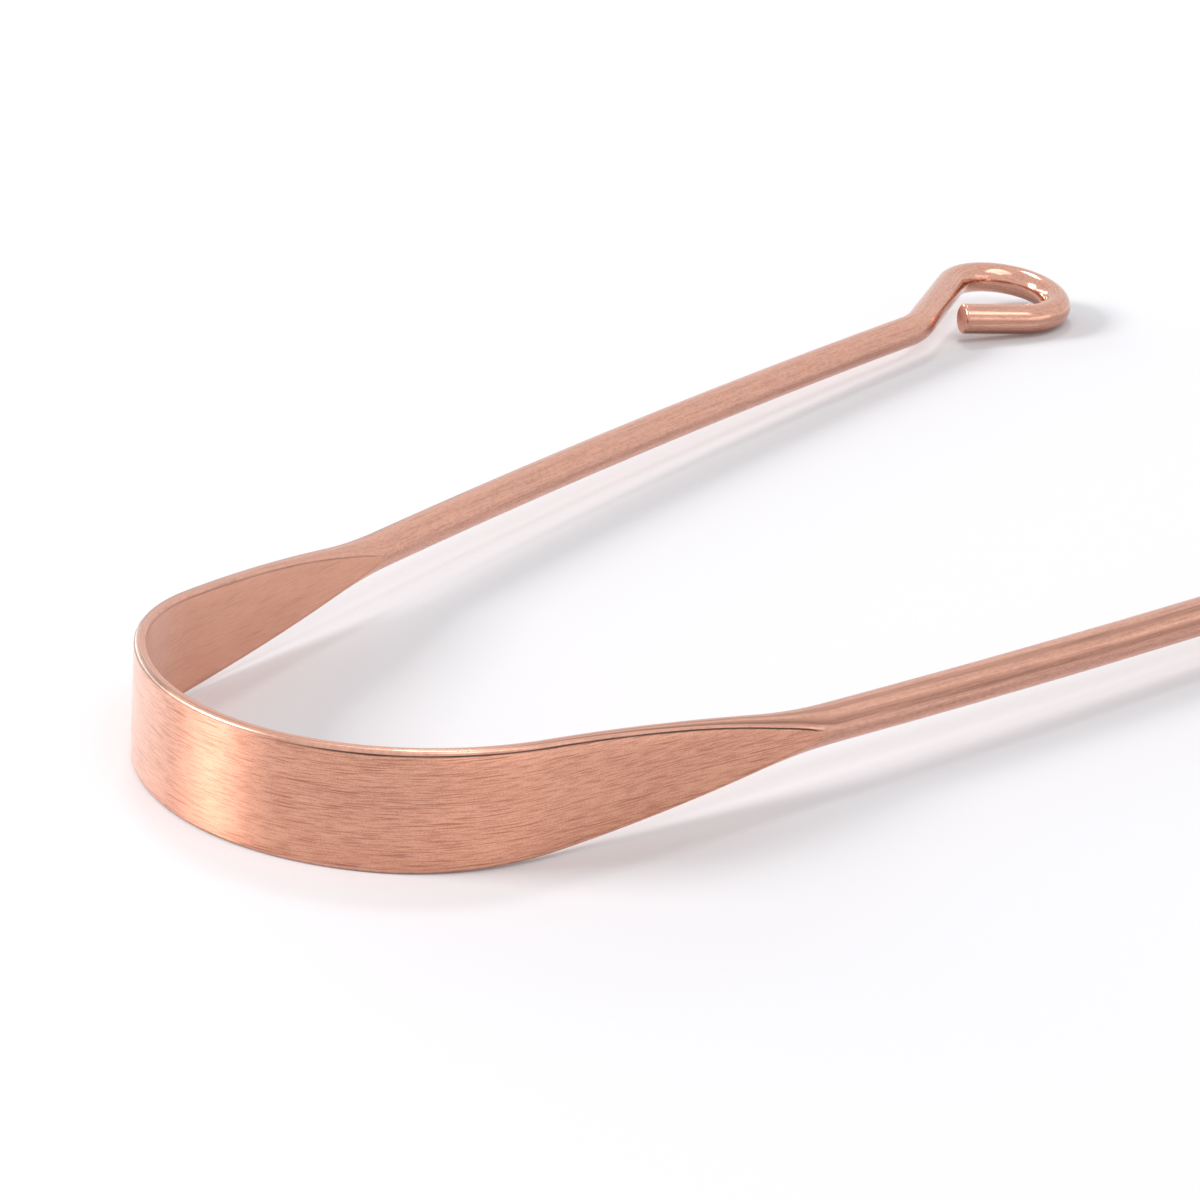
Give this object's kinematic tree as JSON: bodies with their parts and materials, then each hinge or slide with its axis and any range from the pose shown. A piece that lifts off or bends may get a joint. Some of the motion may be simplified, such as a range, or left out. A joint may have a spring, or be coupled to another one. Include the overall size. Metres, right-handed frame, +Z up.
{
  "type": "tongue scraper",
  "caption": "U-shaped sprung metal tongue scraper: an upright scraping band on round rod arms, with an open finger eye curled in the end of each arm.",
  "frame": {"origin": "middle of the crown's bottom edge, on the surface that the tool rests on", "axes": "+Y from the crown of the U to the eyes, +Z up across the band, +X to the right arm"},
  "size_m": [0.086, 0.1403, 0.009],
  "materials": {
    "copper": "drawn and pressed bare copper, satin polished with fine lengthwise lines"
  },
  "bodies": {
    "crown": {"band_crown": "copper"},
    "right_half": {"right_crown_end": "copper", "right_corner": "copper", "right_shoulder": "copper", "right_arm": "copper", "right_neck": "copper", "right_eye": "copper", "right_eye_end": "copper"},
    "left_half": {"left_crown_end": "copper", "left_corner": "copper", "left_shoulder": "copper", "left_arm": "copper", "left_neck": "copper", "left_eye": "copper", "left_eye_end": "copper"}
  },
  "joints": [
    {"name": "right_flex", "type": "hinge", "parent": "crown", "child": "right_half", "pos_m": [0.01159, 0.00349, 0.0045], "axis": [0, 0, 1], "range_deg": [-5, 8], "stiffness_Nm_per_rad": 2},
    {"name": "left_flex", "type": "hinge", "parent": "crown", "child": "left_half", "pos_m": [-0.01159, 0.00349, 0.0045], "axis": [0, 0, -1], "range_deg": [-5, 8], "stiffness_Nm_per_rad": 2}
  ],
  "couplings": [
    {"joint": "left_flex", "follows": "right_flex", "ratio": 1}
  ]
}
